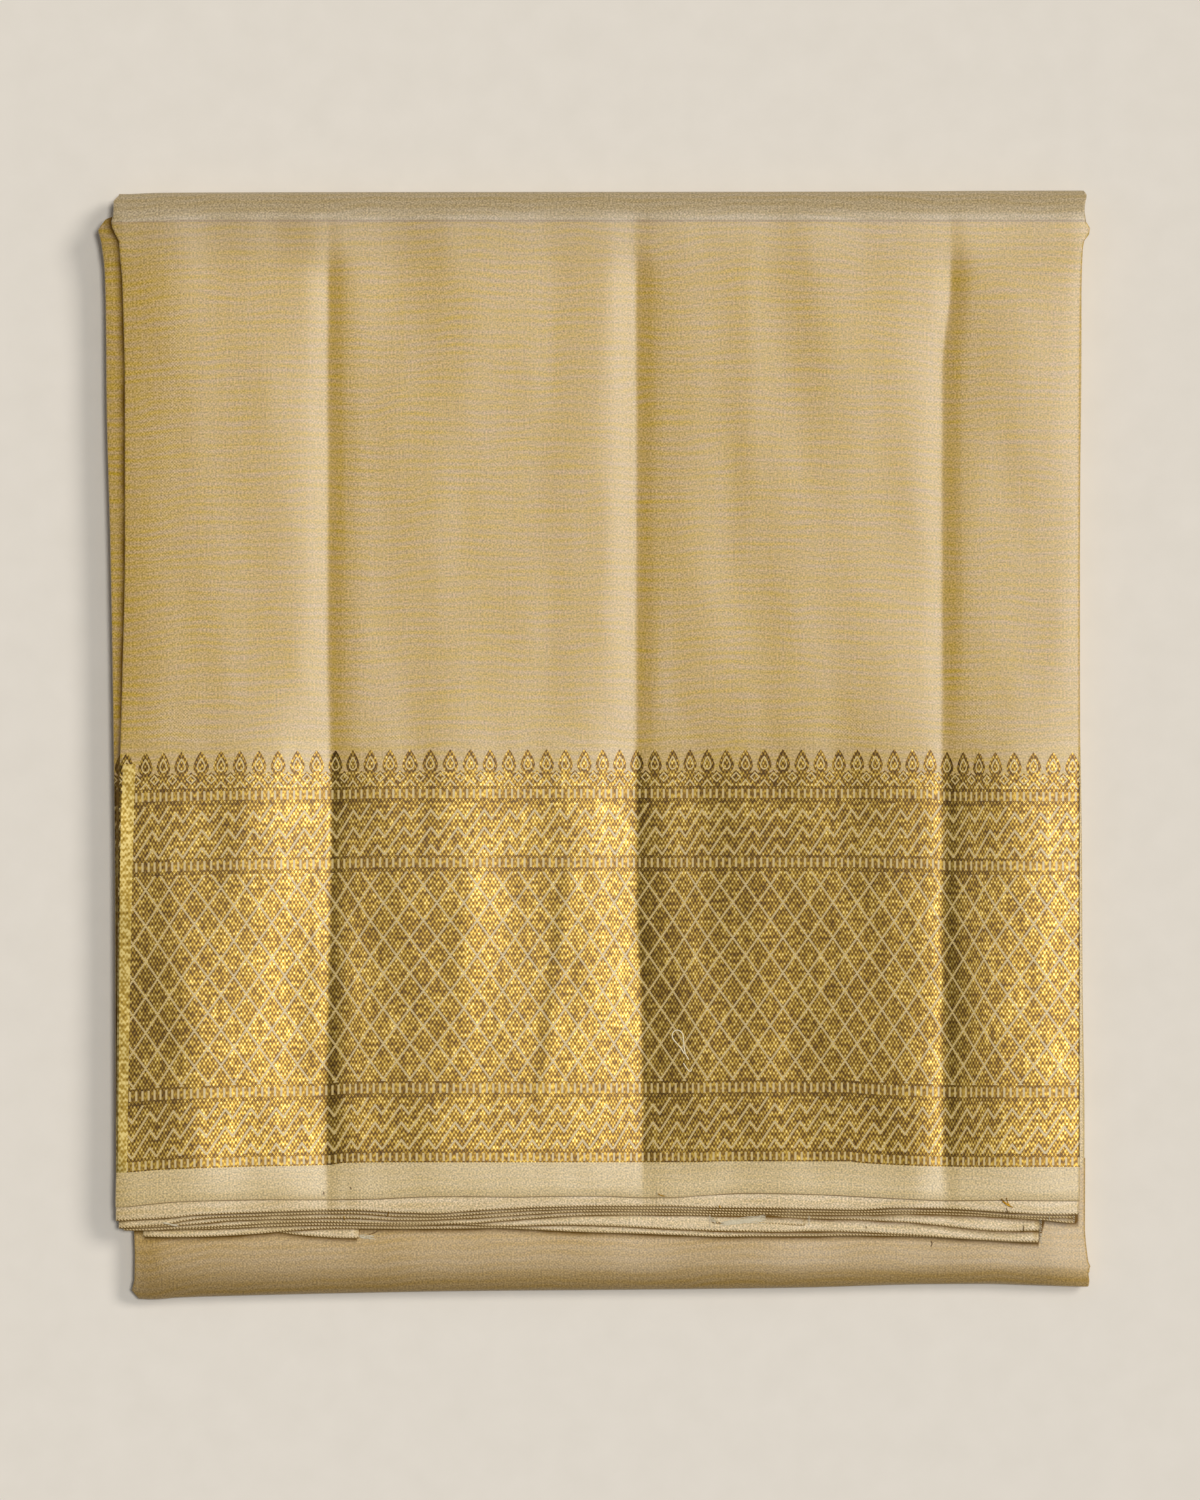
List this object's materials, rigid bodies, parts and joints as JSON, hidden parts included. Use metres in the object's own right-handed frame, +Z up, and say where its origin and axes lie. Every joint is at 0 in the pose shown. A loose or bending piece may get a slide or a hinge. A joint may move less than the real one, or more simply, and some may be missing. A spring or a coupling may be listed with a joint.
{
  "type": "folded silk dhoti cloth",
  "caption": "Cream silk dhoti cloth with a wide woven gold border, folded flat into a packet with stepped selvedges.",
  "frame": {"origin": "on the surface that the packet lies on, under the middle of its outline", "axes": "+X across the packet to the right, +Y up the packet to the upper fold (its longest side), +Z up out of the surface (its thickness)"},
  "size_m": [0.4576, 0.5113, 0.02],
  "materials": {
    "silk": "plain woven cream silk, shot with gold and grey, soft sheen",
    "gold_border": "gold metal thread weave with a cream figure",
    "inner_silk": "plain woven cream silk in the folded layers"
  },
  "bodies": {
    "root": {"front_field": "silk", "front_border": "gold_border", "front_selvedge": "silk", "upper_fold": "silk", "second_layer": "silk", "third_selvedge": "silk", "fourth_selvedge": "silk", "lowest_selvedge": "silk", "lower_fold": "silk", "underside": "silk", "hidden_layers": "inner_silk"}
  },
  "joints": []
}
